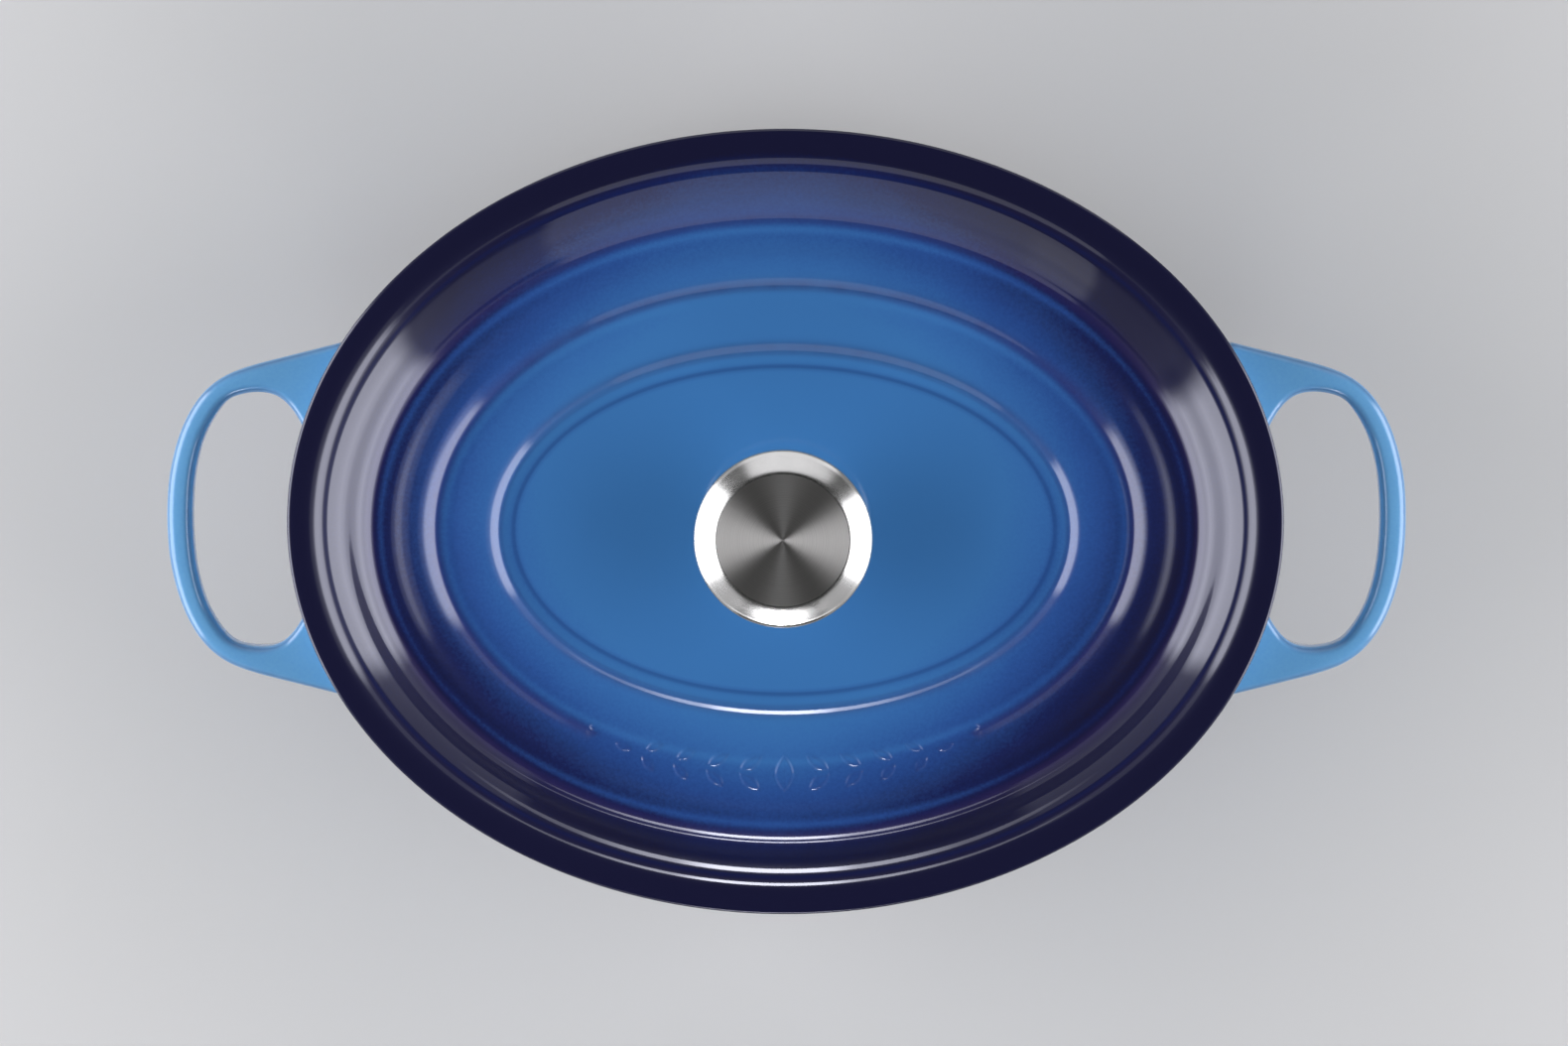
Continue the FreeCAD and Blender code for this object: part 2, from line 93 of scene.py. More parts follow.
def through(points, count):
    """Points along a smooth curve that passes through the given ones, evenly spaced in their numbering."""
    points = np.array(points, dtype=float)
    n = len(points)
    system = np.zeros((n, n))
    target = np.zeros_like(points)
    system[0, 0] = system[-1, -1] = 1.0
    for i in range(1, n - 1):
        system[i, i - 1 : i + 2] = (1, 4, 1)
        target[i] = 6 * (points[i + 1] - 2 * points[i] + points[i - 1])
    bend = np.linalg.solve(system, target)
    t = np.linspace(0, n - 1, count)
    i = np.minimum(t.astype(int), n - 2)
    f = (t - i)[:, None]
    a, b = points[i], points[i + 1]
    return a * (1 - f) + b * f + ((f**3 - f) * bend[i + 1] + ((1 - f) ** 3 - (1 - f)) * bend[i]) / 6


def ramp(x, low, high):
    """Rises smoothly from 0 at low to 1 at high."""
    t = np.clip((x - low) / (high - low), 0, 1)
    return t * t * (3 - 2 * t)


# ---------------------------------------------------------------- meshes
def grid_mesh(name, grids, body):
    """One mesh from grids of points (rows, columns, 3) in mm, wrapped around in the columns.

    Each grid is (points, material number for each strip of faces, point attributes, whether the last row
    joins the first). Points go outwards or downwards along the rows and anticlockwise along the columns.
    """
    points, quads, numbers, attributes = [], [], [], {}
    offset = 0
    for grid, strip_materials, values, wrapped in grids:
        rows, columns = grid.shape[:2]
        index = np.arange(rows * columns).reshape(rows, columns) + offset
        below = np.roll(index, -1, 0) if wrapped else index[1:]
        above = index if wrapped else index[:-1]
        strip = np.stack([above, below, np.roll(below, -1, 1), np.roll(above, -1, 1)], -1)
        points.append(grid.reshape(-1, 3))
        quads.append(strip.reshape(-1, 4))
        numbers.append(np.repeat(np.array(strip_materials)[: len(strip)], columns))
        for key in ("tone", "crest", "deep_glaze_and_shade"):
            whole = np.broadcast_to(values.get(key, 0.0), (rows, columns))
            attributes.setdefault(key, []).append(whole.ravel())
        offset += rows * columns
    points, quads, numbers = np.concatenate(points) * MM, np.concatenate(quads), np.concatenate(numbers)
    mesh = bpy.data.meshes.new(name)
    mesh.vertices.add(len(points))
    mesh.vertices.foreach_set("co", points.ravel())
    mesh.loops.add(quads.size)
    mesh.loops.foreach_set("vertex_index", quads.ravel().astype(np.int32))
    mesh.polygons.add(len(quads))
    mesh.polygons.foreach_set("loop_start", np.arange(0, quads.size, 4, dtype=np.int32))
    mesh.polygons.foreach_set("material_index", numbers.astype(np.int32))
    mesh.update(calc_edges=True)
    mesh.validate()
    mesh.shade_smooth()
    for key, values in attributes.items():
        layer = mesh.attributes.new(key, "FLOAT", "POINT")
        layer.data.foreach_set("value", np.concatenate(values).astype(np.float32))
    piece = bpy.data.objects.new(name, mesh)
    bpy.context.scene.collection.objects.link(piece)
    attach(piece, body)
    return piece


def bend_of(grid):
    """How sharply a grid's surface bends from row to row, in radians per mm: crests are negative."""
    step = np.diff(grid, axis=0)
    out = np.hypot(step[..., 0], step[..., 1])
    length = np.maximum(np.linalg.norm(step, axis=-1), 1e-6)
    slope = np.arctan2(step[..., 2], out)
    bend = np.zeros(grid.shape[:2])
    bend[1:-1] = np.diff(slope, axis=0) / np.maximum((length[1:] + length[:-1]) / 2, 0.12)
    for _ in range(2):
        bend[1:-1] = (bend[:-2] + 2 * bend[1:-1] + bend[2:]) / 4
    return bend


# ---------------------------------------------------------------- lid
TERRACE = [(43.0, FLANGE_TOP + 15.4), (66.6, FLANGE_TOP + 18.5)]
RIDGE_CREST = 51.6
SPRIG_INSET = 50.3
MOTIF_GAP = 33.0  # half of the stretch at the front without the middle ring, in degrees
MOTIF_RELIEF = 0.55
NO_INSET = 200.0  # stands in where a point is inside the swept profile
SPRAY_REACH = 125.0
SPRAY_MIDDLE = (-4.0, 8.0)
SPRAY_STRETCH = 1.10  # how much further the spray's middle tone goes lengthways
SPRAY_POWER = 1.72  # 2 would spread the spray in a round


def raised(points, base):
    """The same (inset, height) points with their heights counted from a base."""
    return [(inset, base + height) for inset, height in points]


def ridge_profile():
    """The middle ring's height above the slope at evenly spaced offsets from its crest."""
    poles = [(44.5, 0.0), (46.2, 0.0), (47.2, 0.2), (49.2, 0.7), (51.2, 1.5), (52.2, 1.5), (53.5, 0.6)]
    curve = spline(poles + [(54.9, 0.2), (57.0, 0.0)], 400)
    offsets = np.linspace(-7.2, 6.0, 265)
    return offsets, np.interp(offsets, curve[:, 0] - RIDGE_CREST, curve[:, 1])


def ridge_height(inset, angle):
    """The middle ring over the terrace, with rounded ends at the gap at the front."""
    offsets, heights = ridge_profile()
    from_front = np.abs((np.degrees(angle) + 90.0 + 180.0) % 360.0 - 180.0)
    radius = np.hypot((HALF_LENGTH - inset) * np.sin(angle), (HALF_WIDTH - inset) * np.cos(angle))
    inside = np.radians(from_front - MOTIF_GAP) * radius  # mm from the ring's end, along it
    short = np.clip(3.2 - inside, 0.0, 40.0)
    offset = inset - RIDGE_CREST
    reach = np.hypot(offset, short * np.where(offset < 0, 1.0, 1.35))
    return np.interp(np.where(offset < 0, -reach, reach), offsets, heights, left=0.0, right=0.0)


def motif_leaves():
    """The sprig's leaves: (length, width, degrees around the oval, inset, turn from upright) for each."""
    leaves = [(12.0, 6.0, -90.0, SPRIG_INSET, 0.0)]
    for side in (1, -1):
        for number in range(1, 5):
            angle = -90.0 + side * 5.6 * number
            size = 1.0 - 0.09 * number
            leaves.append((9.5 * size, 4.4 * size, angle, SPRIG_INSET - 3.0, side * 128.0))
            leaves.append((9.5 * size, 4.4 * size, angle, SPRIG_INSET + 3.2, side * 52.0))
        leaves.append((5.6, 2.8, -90.0 + side * 27.4, SPRIG_INSET, side * 90.0))
    return leaves


def leaf_height(x, y, leaf):
    """A leaf's height over the slope: rounded up from its outline, with a fine groove along its middle."""
    length, width, degrees, inset, turn = leaf
    angle = math.radians(degrees)
    cx, cy = (HALF_LENGTH - inset) * math.cos(angle), (HALF_WIDTH - inset) * math.sin(angle)
    inwards = math.atan2(-math.sin(angle) / (HALF_WIDTH - inset), -math.cos(angle) / (HALF_LENGTH - inset))
    along = inwards + math.radians(turn)
    q = (x - cx) * math.cos(along) + (y - cy) * math.sin(along)
    p = -(x - cx) * math.sin(along) + (y - cy) * math.cos(along)
    half = width / 2 * (1 - np.clip(np.abs(2 * q / length), 0, 2) ** 2)
    rise = ramp(half - np.abs(p), -0.75, 1.05)
    groove = 0.3 * np.exp(-((p / 0.4) ** 2)) * ramp(half, 0.6, 1.4)
    return MOTIF_RELIEF * rise * (1 - groove)


def column_angles(gap_step, step):
    """Angles around the oval, closer together across the motif's gap at the front."""
    edge = MOTIF_GAP + 2.0
    fine = np.linspace(-90 - edge, -90 + edge, int(round(2 * edge / gap_step)) + 1)
    coarse = np.linspace(-90 + edge, 270 - edge, int(round((360 - 2 * edge) / step)) + 1)[1:-1]
    return np.radians(np.concatenate([fine, coarse]))


def swept(profile, angle):
    """A grid from profile rows (inset, height) around the oval."""
    inset, height = profile[:, 0][:, None], profile[:, 1][:, None]
    x = (HALF_LENGTH - inset) * np.cos(angle)
    y = (HALF_WIDTH - inset) * np.sin(angle)
    return np.stack([x, y, np.broadcast_to(height, x.shape)], -1)


def round_rows(radii_heights, angle):
    """A grid from profile rows (radius, height) around the Z axis."""
    rows = np.array(radii_heights, dtype=float)
    radius, height = rows[:, :1], rows[:, 1:]
    x = radius * np.cos(angle)
    return np.stack([x, radius * np.sin(angle), np.broadcast_to(height, x.shape)], -1)


def blended_rows(first, last, count):
    """Rows between two loops of points, without the loops themselves."""
    t = np.linspace(0, 1, count + 2)[1:-1, None, None]
    return first * (1 - t) + last * t


def lid_runs():
    """The lid's outer and under profiles: runs of (poles, number of rows, coat)."""
    ring = raised([(66.6, 18.5), (68.0, 18.7), (69.2, 18.95), (70.6, 19.65), (72.0, 20.5)], FLANGE_TOP)
    ring += raised([(73.0, 20.65), (74.2, 20.2), (76.4, 19.8), (78.2, 19.9)], FLANGE_TOP)
    ring.append((80.0, PLATEAU_TOP))
    swell = raised([(33.0, 13.6), (35.0, 13.6), (37.0, 13.8), (39.4, 14.7), (41.4, 15.2)], FLANGE_TOP)
    swell.append(TERRACE[0])
    bank = raised([(13.1, 1.98), (13.7, 2.08), (14.4, 2.37), (15.6, 2.96), (17.0, 3.68)], FLANGE_TOP)
    bank += raised([(19.2, 5.15), (22.0, 7.95), (24.2, 10.15), (25.6, 11.4)], FLANGE_TOP)
    brow = raised([(26.6, 12.0), (27.6, 12.4), (28.6, 12.95), (29.6, 13.35), (30.6, 13.65)], FLANGE_TOP)
    brow += raised([(31.6, 13.6)], FLANGE_TOP)
    shoulder = bank + brow + [swell[0]]
    step = raised([(1.4, 0.0), (5.0, 0.0), (6.5, 0.06), (7.8, 0.2), (8.8, 0.4), (9.6, 0.65)], FLANGE_TOP)
    step += raised([(10.2, 0.92), (10.95, 1.33), (11.8, 1.66), (12.5, 1.88), (13.1, 1.98)], FLANGE_TOP)
    edge = [(1.4, FLANGE_TOP), (0.0, FLANGE_TOP), (0.0, FLANGE_TOP - 1.4)]
    side = [edge[-1], (0.0, POT_HEIGHT + 1.0)]
    lower_edge = [side[-1], (0.0, POT_HEIGHT), (1.0, POT_HEIGHT)]
    seat = [lower_edge[-1], (8.4, POT_HEIGHT)]
    rib_side = [seat[-1], (8.4, RIB_BOTTOM + 1.2)]
    rib_toe = [rib_side[-1], (8.4, RIB_BOTTOM), (9.6, RIB_BOTTOM)]
    rib_heel = [(10.6, RIB_BOTTOM), (11.8, RIB_BOTTOM), (11.8, RIB_BOTTOM + 1.2)]
    under = [rib_heel[-1]]
    under += raised([(11.9, -1.5), (12.1, 1.6), (15.4, 2.9), (19.0, 5.0), (22.4, 7.8)], POT_HEIGHT)
    under += raised([(25.4, 11.0), (28.2, 13.6), (31.4, 14.8), (37.5, 14.7), (43.0, 16.2)], POT_HEIGHT)
    under += raised([(55.0, 17.6), (65.6, 19.2), (70.1, 20.2)], POT_HEIGHT)
    under += [(75.0, CEILING), (80.0, CEILING)]
    top = [(ring[::-1], 30), (TERRACE[::-1], 44), (swell[::-1], 14), (shoulder[::-1], 60), (step[::-1], 56)]
    top += [(edge, 7), (side, 3)]
    bottom = [(lower_edge, 4), (seat, 3), (rib_side, 3), (rib_toe, 4), (rib_heel, 4)]
    return (
        [(run, count, OUTSIDE) for run, count in top]
        + [(run, count, BARE) for run, count in bottom]
        + [(under, 44, INSIDE)]
    )


def profile_rows(runs):
    """Rows from joined runs, with the coat of the strip of faces that starts at each row."""
    rows, coats = [], []
    for number, (poles, count, coat) in enumerate(runs):
        points = spline(poles, count)
        keep = points if number == len(runs) - 1 else points[:-1]
        rows.append(keep)
        coats += [coat] * len(keep)
    return np.concatenate(rows), coats


def lid_tone(x, y):
    """How far the spray has gone from azure, 0, to indigo, 1: by the distance from the lid's middle."""
    lengthways = np.abs((x - SPRAY_MIDDLE[0]) / SPRAY_STRETCH)
    across = np.abs(y - SPRAY_MIDDLE[1])
    reach = (lengthways**SPRAY_POWER + across**SPRAY_POWER) ** (1 / SPRAY_POWER)
    return np.clip(0.2 + 0.8 * reach / SPRAY_REACH, 0, 1)


def hump(x, middle, reach):
    """1 at the middle, fading to nothing on both sides."""
    return np.exp(-(((x - middle) / reach) ** 2))


def make_lid():
    """The lid's casting, closed from the screw's hole over the top, round the edge and back underneath."""
    angle = column_angles(0.2, 1.2)
    profile, coats = profile_rows(lid_runs())
    grid = swept(profile, angle)
    grid_inset = np.broadcast_to(profile[:, :1], grid.shape[:2])
    on_top = (grid_inset > 34.0) & (grid_inset < 66.5) & (grid[..., 2] > POT_HEIGHT + 17.0)
    leaves = np.zeros(grid.shape[:2])
    for leaf in motif_leaves():
        leaves = np.maximum(leaves, leaf_height(grid[..., 0], grid[..., 1], leaf))
    ridge = np.where(on_top, ridge_height(grid_inset, angle), 0.0)
    grid[..., 2] += ridge + np.where(on_top, leaves, 0.0)

    hub = [(SCREW_HOLE_RADIUS, BOSS_TOP), (9.0, BOSS_TOP), (15.9, BOSS_TOP), (16.25, BOSS_TOP - 0.07)]
    hub += [(16.43, BOSS_TOP - 0.25), (16.5, BOSS_TOP - 0.5), (16.8, PLATEAU_TOP + 0.08), (17.6, PLATEAU_TOP)]
    pad = [(11.6, CEILING), (11.0, CEILING - 0.3), (10.6, CEILING - 1.0), (SCREW_HOLE_RADIUS, CEILING - 1.0)]
    hub_rows, pad_rows = round_rows(hub, angle), round_rows(pad, angle)
    plateau = blended_rows(hub_rows[-1], grid[0], 18)
    ceiling = blended_rows(grid[-1], pad_rows[0], 8)
    points = np.concatenate([hub_rows, plateau, grid, ceiling, pad_rows])
    lead = len(hub_rows) + len(plateau)
    coats = [OUTSIDE] * lead + coats + [INSIDE] * (len(ceiling) + len(pad_rows))

    # The enamel's tone, thin crests and darker valleys follow the rings and steps, so they are placed by
    # inset. The darker valleys are partly thicker enamel and partly painted shade in the crease at inset 13.1
    # and the valley at inset 77.
    bend = bend_of(points)
    bend[: lead - 1] = 0.0
    inset = np.full(points.shape[:2], NO_INSET)
    inset[lead : lead + len(grid)] = grid_inset
    pale = hump(inset, 32.8, 1.3) + 0.8 * hump(inset, 54.0, 1.4) + 0.4 * hump(inset, 74.0, 1.0)
    thin = 0.8 * hump(inset, 28.8, 1.8) + 0.8 * hump(inset, 70.5, 1.7)
    thin[lead : lead + len(grid)] += 0.8 * hump(grid_inset, 50.4, 1.8) * ramp(ridge, 0.1, 0.6)
    values = {
        "tone": lid_tone(points[..., 0], points[..., 1]) - 0.07 * pale + 0.08 * (1 - ramp(inset, 5.0, 13.0)),
        "crest": np.clip(thin + 0.4 * np.clip(-bend / 0.34, 0, 1) * ramp(inset, 4.0, 7.0), 0, 1),
        # Partly thicker enamel, partly painted shade: darker blue in the valley at inset 77 and the crease at
        # inset 13.1.
        "deep_glaze_and_shade": hump(inset, 77.0, 0.9) + 0.4 * hump(inset, 13.1, 0.7),
    }
    piece = grid_mesh("lid_casting", [(points, coats, values, True)], "lid")
    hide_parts("lid")
    return piece


# ---------------------------------------------------------------- pot
def wall_inset(height):
    """Inset of the pot's outer wall, under the thicker band at its rim."""
    return 1.9 + (BAND_BOTTOM - height) * WALL_DRAFT


def inner_inset(height):
    """Inset of the pot's inner wall."""
    return wall_inset(height) + WALL_THICKNESS


def pot_runs():
    """The pot's profile, from the inside floor over the rim and down to the recess in its foot."""
    rim_inner, lip, corner = 6.2, 1.2, 30.0
    inside = [(inner_inset(0) + 31.0, FLOOR_TOP), (inner_inset(0) + 21.0, FLOOR_TOP)]
    inside += [(inner_inset(0) + 8.0, 5.8), (inner_inset(0) + 0.8, 13.2), (inner_inset(20), 27.2)]
    inside += [(inner_inset(55), 55.0), (inner_inset(90), 90.0), (rim_inner, POT_HEIGHT - lip)]
    inner_lip = [inside[-1], (rim_inner, POT_HEIGHT), (rim_inner - lip, POT_HEIGHT)]
    rim = [inner_lip[-1], (RIM_INSET + lip, POT_HEIGHT)]
    outer_lip = [rim[-1], (RIM_INSET, POT_HEIGHT), (RIM_INSET, POT_HEIGHT - lip)]
    outside = [outer_lip[-1], (RIM_INSET, POT_HEIGHT - 4.0), (RIM_INSET, POT_HEIGHT - 6.5)]
    outside += [(wall_inset(z), z) for z in (POT_HEIGHT - 7.5, POT_HEIGHT - 10.0, 90.0, 55.0, 28.0)]
    outside += [(wall_inset(10) + 2.2, 11.0), (wall_inset(0) + 14.0, 2.6), (wall_inset(0) + corner, 1.8)]
    outside.append((wall_inset(0) + corner + 7.0, 1.6))
    foot_outer = wall_inset(0) + corner + 8.5
    foot = [(foot_outer, 0.0), (foot_outer + 8.0, 0.0)]
    return [
        (inside, 56, INSIDE),
        (inner_lip, 6, BARE),
        (rim, 4, BARE),
        (outer_lip, 6, BARE),
        (outside, 80, OUTSIDE),
        ([outside[-1], foot[0]], 3, OUTSIDE),
        (foot, 4, BARE),
        ([foot[-1], (foot_outer + 9.6, 1.2)], 4, OUTSIDE),
    ]


def wall_point(x, y, z):
    """Where the outside wall is, at a point's own height, straight towards the pot's axis from it."""
    inset = wall_inset(z)
    scale = 1.0 / np.hypot(x / (HALF_LENGTH - inset), y / (HALF_WIDTH - inset))
    return np.stack([x * scale, y * scale, z], -1)


def wall_normal(point):
    """The direction out of the wall at a point on it."""
    a, b = HALF_LENGTH - wall_inset(point[..., 2]), HALF_WIDTH - wall_inset(point[..., 2])
    normal = np.stack([point[..., 0] / a**2, point[..., 1] / b**2, np.zeros(point.shape[:-1])], -1)
    normal /= np.linalg.norm(normal, axis=-1, keepdims=True)
    normal[..., 2] = -WALL_DRAFT
    return normal / np.linalg.norm(normal, axis=-1, keepdims=True)


# Matching points along the outside and the inside of the right-hand loop, from its middle to its root.
LOOP = [
    ((208.5, 0.0), (200.0, 0.0)),
    ((208.15, 9.0), (199.65, 9.0)),
    ((207.0, 17.5), (198.6, 17.5)),
    ((203.6, 29.5), (195.6, 28.2)),
    ((197.1, 41.2), (190.4, 37.3)),
    ((186.8, 49.3), (184.0, 42.0)),
    ((172.0, 54.0), (172.6, 42.4)),
    ((157.6, 57.6), (165.2, 36.4)),
    ((149.6, 59.6), (161.6, 30.0)),
]


def handle_underside(x):
    """The height of a loop's underside, by the distance out from the pot's middle."""
    poles = [(130.0, 94.0), (150.0, 94.0), (168.0, 95.0), (184.0, 101.9), (194.0, 102.5), (217.5, 102.5)]
    curve = spline(poles, 120)
    return np.interp(x, curve[:, 0], curve[:, 1])


def band_section(count=7):
    """A rounded rectangle around a loop's band: (across, -1 or 1; up, 0 or 1; corner offsets, -1 to 1)."""
    corners = []
    for across, up, start in ((1, 1, 0), (-1, 1, 90), (-1, 0, 180), (1, 0, 270)):
        for angle in np.radians(np.linspace(start, start + 90, count)):
            corners.append((across, up, math.cos(angle), math.sin(angle)))
    return np.array(corners)


def make_handle(side):
    """One loop handle's grid, its two ends spreading into fillets on the wall."""
    half = np.array([o + i for o, i in LOOP], dtype=float)
    mirrored = half[1:][::-1] * np.array([1, -1, 1, -1])
    pairs = through(np.concatenate([mirrored, half]), 121)
    outer, inner = pairs[:, :2], pairs[:, 2:]
    section = band_section()
    sections = []
    for o, i in zip(outer, inner):
        middle, across = (o + i) / 2, (o - i) / 2
        width = np.linalg.norm(across)
        unit = across / width
        corner = min(BAND_CORNER, width * 0.72)
        offset = section[:, 0] * (width - corner) + section[:, 2] * corner
        xy = middle + offset[:, None] * unit
        crown = HANDLE_CROWN * (1 - (offset / width) ** 2)
        upper = HANDLE_TOP - HANDLE_CROWN - corner + section[:, 3] * (corner + crown)
        lower = handle_underside(xy[:, 0]) + corner + section[:, 3] * corner
        sections.append(np.column_stack([xy, np.where(section[:, 1] > 0.5, upper, lower)]))
    rings = np.array(sections)
    grid = np.concatenate([flare(rings[0])[::-1], rings, flare(rings[-1])])
    if side < 0:
        grid = grid[::-1] * np.array([-1.0, 1.0, 1.0])
    return grid


def flare(ring, reach=5.0, rows=9):
    """Rows that carry a ring of the band on to the wall, curving outwards into a fillet."""
    foot = wall_point(ring[:, 0], ring[:, 1], ring[:, 2])
    towards = np.roll(ring, -1, 0) - np.roll(ring, 1, 0)
    axis = (foot - ring).mean(0)
    outwards = np.cross(towards, axis)
    if (outwards * (ring - ring.mean(0))).sum() < 0:
        outwards = -outwards
    outwards /= np.linalg.norm(outwards, axis=1, keepdims=True)
    spread = foot + outwards * reach
    spread[:, 2] = np.minimum(spread[:, 2], BAND_BOTTOM)
    landing = wall_point(spread[:, 0], spread[:, 1], spread[:, 2])
    landing -= wall_normal(landing) * 0.06
    t = np.linspace(0, 1, rows + 1)[1:, None, None]
    return ring * (1 - t) ** 2 + 2 * foot * t * (1 - t) + landing * t**2


POT_SPRAY = [(0, 1.0), (14, 0.98), (30, 0.93), (48, 0.87), (66, 0.70), (84, 0.16), (98, 0.03), (126, 0.0)]


def pot_tone(z):
    """How far the pot's spray has gone, from azure at the rim to indigo at the foot, by height."""
    heights, tones = zip(*POT_SPRAY)
    return np.interp(z, heights, tones)


def make_pot():
    """The pot's casting and its two loops, as one piece."""
    angle = np.linspace(-math.pi, math.pi, 361)[:-1]
    profile, coats = profile_rows(pot_runs())
    grid = swept(profile, angle)
    floor = blended_rows(grid[0] * np.array([0.02, 0.02, 1.0]), grid[0], 10)
    base = blended_rows(grid[-1], grid[-1] * np.array([0.02, 0.02, 1.0]), 10)
    points = np.concatenate([floor, grid, base])
    coats = [INSIDE] * len(floor) + coats + [OUTSIDE] * len(base)
    grids = [(points, coats, {"tone": pot_tone(points[..., 2])}, False)]
    section = band_section()
    rounding = np.minimum(section[:, 2] ** 2, section[:, 3] ** 2) * 2
    for side in (1, -1):
        loop = make_handle(side)
        values = {"tone": pot_tone(loop[..., 2]), "crest": rounding}
        grids.append((loop, [OUTSIDE] * len(loop), values, False))
    piece = grid_mesh("pot_casting", grids, "pot")
    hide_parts("pot")
    return piece


# ---------------------------------------------------------------- knob
def make_knob():
    """The knob's cap and stem, turned finely enough to reflect cleanly."""
    angle = np.linspace(-math.pi, math.pi, 193)[:-1]
    face, top = 21.0, KNOB_HEIGHT
    bevel = [(face, top), (face + 0.8, top - 0.1), (24.2, top - 1.6), (27.0, top - 3.1)]
    edge = [bevel[-1], (CAP_RADIUS, top - 3.9), (CAP_RADIUS, top - 5.4)]
    rim = [(CAP_RADIUS, CAP_BOTTOM), (CAP_RADIUS - 1.2, CAP_BOTTOM)]
    inside = [rim[-1], (CAP_RADIUS - 1.2, top - 5.0), (face, top - 1.2)]
    runs = [([(0.05, top), (face, top)], 26, 0), (bevel, 22, 1), (edge, 9, 1), ([edge[-1], rim[0]], 4, 1)]
    runs += [(rim, 3, 1), (inside, 8, 1), ([inside[-1], (0.05, top - 1.2)], 6, 1)]
    rows, finishes = profile_rows(runs)
    grid = round_rows(rows + np.array([0.0, KNOB_BASE]), angle)
    cap = grid_mesh("knob_top", [(grid, finishes, {}, False)], "lid")
    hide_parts("knob_cap")

    foot = [(13.5, 0.0), (13.5, 0.8)]
    stem = [foot[-1], (13.3, 2.6), (10.5, 4.6), (10.2, 11.0), (11.8, 17.4), (18.0, 22.0), (25.4, 23.9)]
    stem += [(27.8, 24.5), (28.2, CAP_BOTTOM)]
    hollow = [(26.9, CAP_BOTTOM), (25.0, 25.1), (17.0, 23.0), (10.6, 18.2), (8.9, 11.0), (9.0, 4.2)]
    hollow += [(12.0, 4.0), (12.0, 2.2)]
    runs = [([(12.0, 0.0), foot[0]], 3, 0), (foot, 3, 0), (stem, 52, 0), ([stem[-1], hollow[0]], 3, 0)]
    runs += [(hollow, 30, 0), ([hollow[-1], (12.0, 0.0)], 3, 0)]
    rows, finishes = profile_rows(runs)
    grid = round_rows(rows + np.array([0.0, KNOB_BASE]), angle)[::-1]
    body = grid_mesh("knob_stem", [(grid, finishes, {}, False)], "lid")
    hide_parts("knob_body")
    return cap, body


# ---------------------------------------------------------------- materials
def srgb(red, green, blue):
    """A linear colour from 0 to 255 display values."""
    values = [v / 255 for v in (red, green, blue)]
    return tuple(v / 12.92 if v <= 0.04045 else ((v + 0.055) / 1.055) ** 2.4 for v in values) + (1.0,)


class Nodes:
    """A short way to build one material's node tree."""

    def __init__(self, name):
        self.material = bpy.data.materials.new(name)
        self.material.use_nodes = True
        self.tree = self.material.node_tree
        self.shader = self.tree.nodes["Principled BSDF"]

    def add(self, kind, **settings):
        node = self.tree.nodes.new(kind)
        for key, value in settings.items():
            setattr(node, key, value)
        return node

    def link(self, source, target):
        self.tree.links.new(source, target)

    def position(self):
        return self.add("ShaderNodeTexCoord").outputs["Object"]

    def attribute(self, name):
        return self.add("ShaderNodeAttribute", attribute_name=name).outputs["Fac"]

    def noise(self, scale, detail=3.0, roughness=0.55, stretch=None):
        """Noise of so many features for each metre, from 0 to 1."""
        node = self.add("ShaderNodeTexNoise")
        node.inputs["Scale"].default_value = scale
        node.inputs["Detail"].default_value = detail
        node.inputs["Roughness"].default_value = roughness
        source = self.position()
        if stretch:
            mapping = self.add("ShaderNodeMapping")
            mapping.inputs["Scale"].default_value = stretch
            self.link(source, mapping.inputs["Vector"])
            source = mapping.outputs["Vector"]
        self.link(source, node.inputs["Vector"])
        return node.outputs["Fac"]

    def maths(self, operation, first, second=0.0, clamp=False):
        node = self.add("ShaderNodeMath", operation=operation, use_clamp=clamp)
        for socket, value in zip(node.inputs, (first, second)):
            if isinstance(value, (int, float)):
                socket.default_value = value
            else:
                self.link(value, socket)
        return node.outputs[0]

    def spread(self, source, low, high):
        """Stretches a 0 to 1 value to low to high."""
        node = self.add("ShaderNodeMapRange")
        node.inputs["To Min"].default_value = low
        node.inputs["To Max"].default_value = high
        self.link(source, node.inputs["Value"])
        return node.outputs["Result"]

    def ramp(self, source, stops):
        node = self.add("ShaderNodeValToRGB")
        elements = node.color_ramp.elements
        while len(elements) < len(stops):
            elements.new(0.5)
        for element, (position, colour) in zip(elements, stops):
            element.position = position
            element.color = colour
        self.link(source, node.inputs["Fac"])
        return node.outputs["Color"]

    def mix(self, factor, first, second, mode="MIX"):
        node = self.add("ShaderNodeMix", data_type="RGBA", blend_type=mode)
        for socket, value in zip((node.inputs[0], node.inputs[6], node.inputs[7]), (factor, first, second)):
            if isinstance(value, (int, float, tuple)):
                socket.default_value = value
            else:
                self.link(value, socket)
        return node.outputs[2]

    def bump(self, height, distance, normal=None):
        node = self.add("ShaderNodeBump")
        node.inputs["Distance"].default_value = distance
        self.link(height, node.inputs["Height"])
        if normal is not None:
            self.link(normal, node.inputs["Normal"])
        return node.outputs["Normal"]

    def set(self, **values):
        for key, value in values.items():
            self.shader.inputs[key.replace("_", " ")].default_value = value

    def feed(self, key, source):
        self.link(source, self.shader.inputs[key])


BLUES = [
    (0.00, srgb(102, 159, 194)),
    (0.10, srgb(82, 141, 189)),
    (0.20, srgb(59, 116, 166)),
    (0.64, srgb(58, 112, 163)),
    (0.70, srgb(54, 104, 158)),
    (0.76, srgb(47, 91, 146)),
    (0.80, srgb(41, 78, 135)),
    (0.84, srgb(36, 67, 122)),
    (0.88, srgb(31, 54, 101)),
    (0.92, srgb(23, 32, 74)),
    (0.96, srgb(20, 25, 59)),
    (1.00, srgb(22, 22, 47)),
]


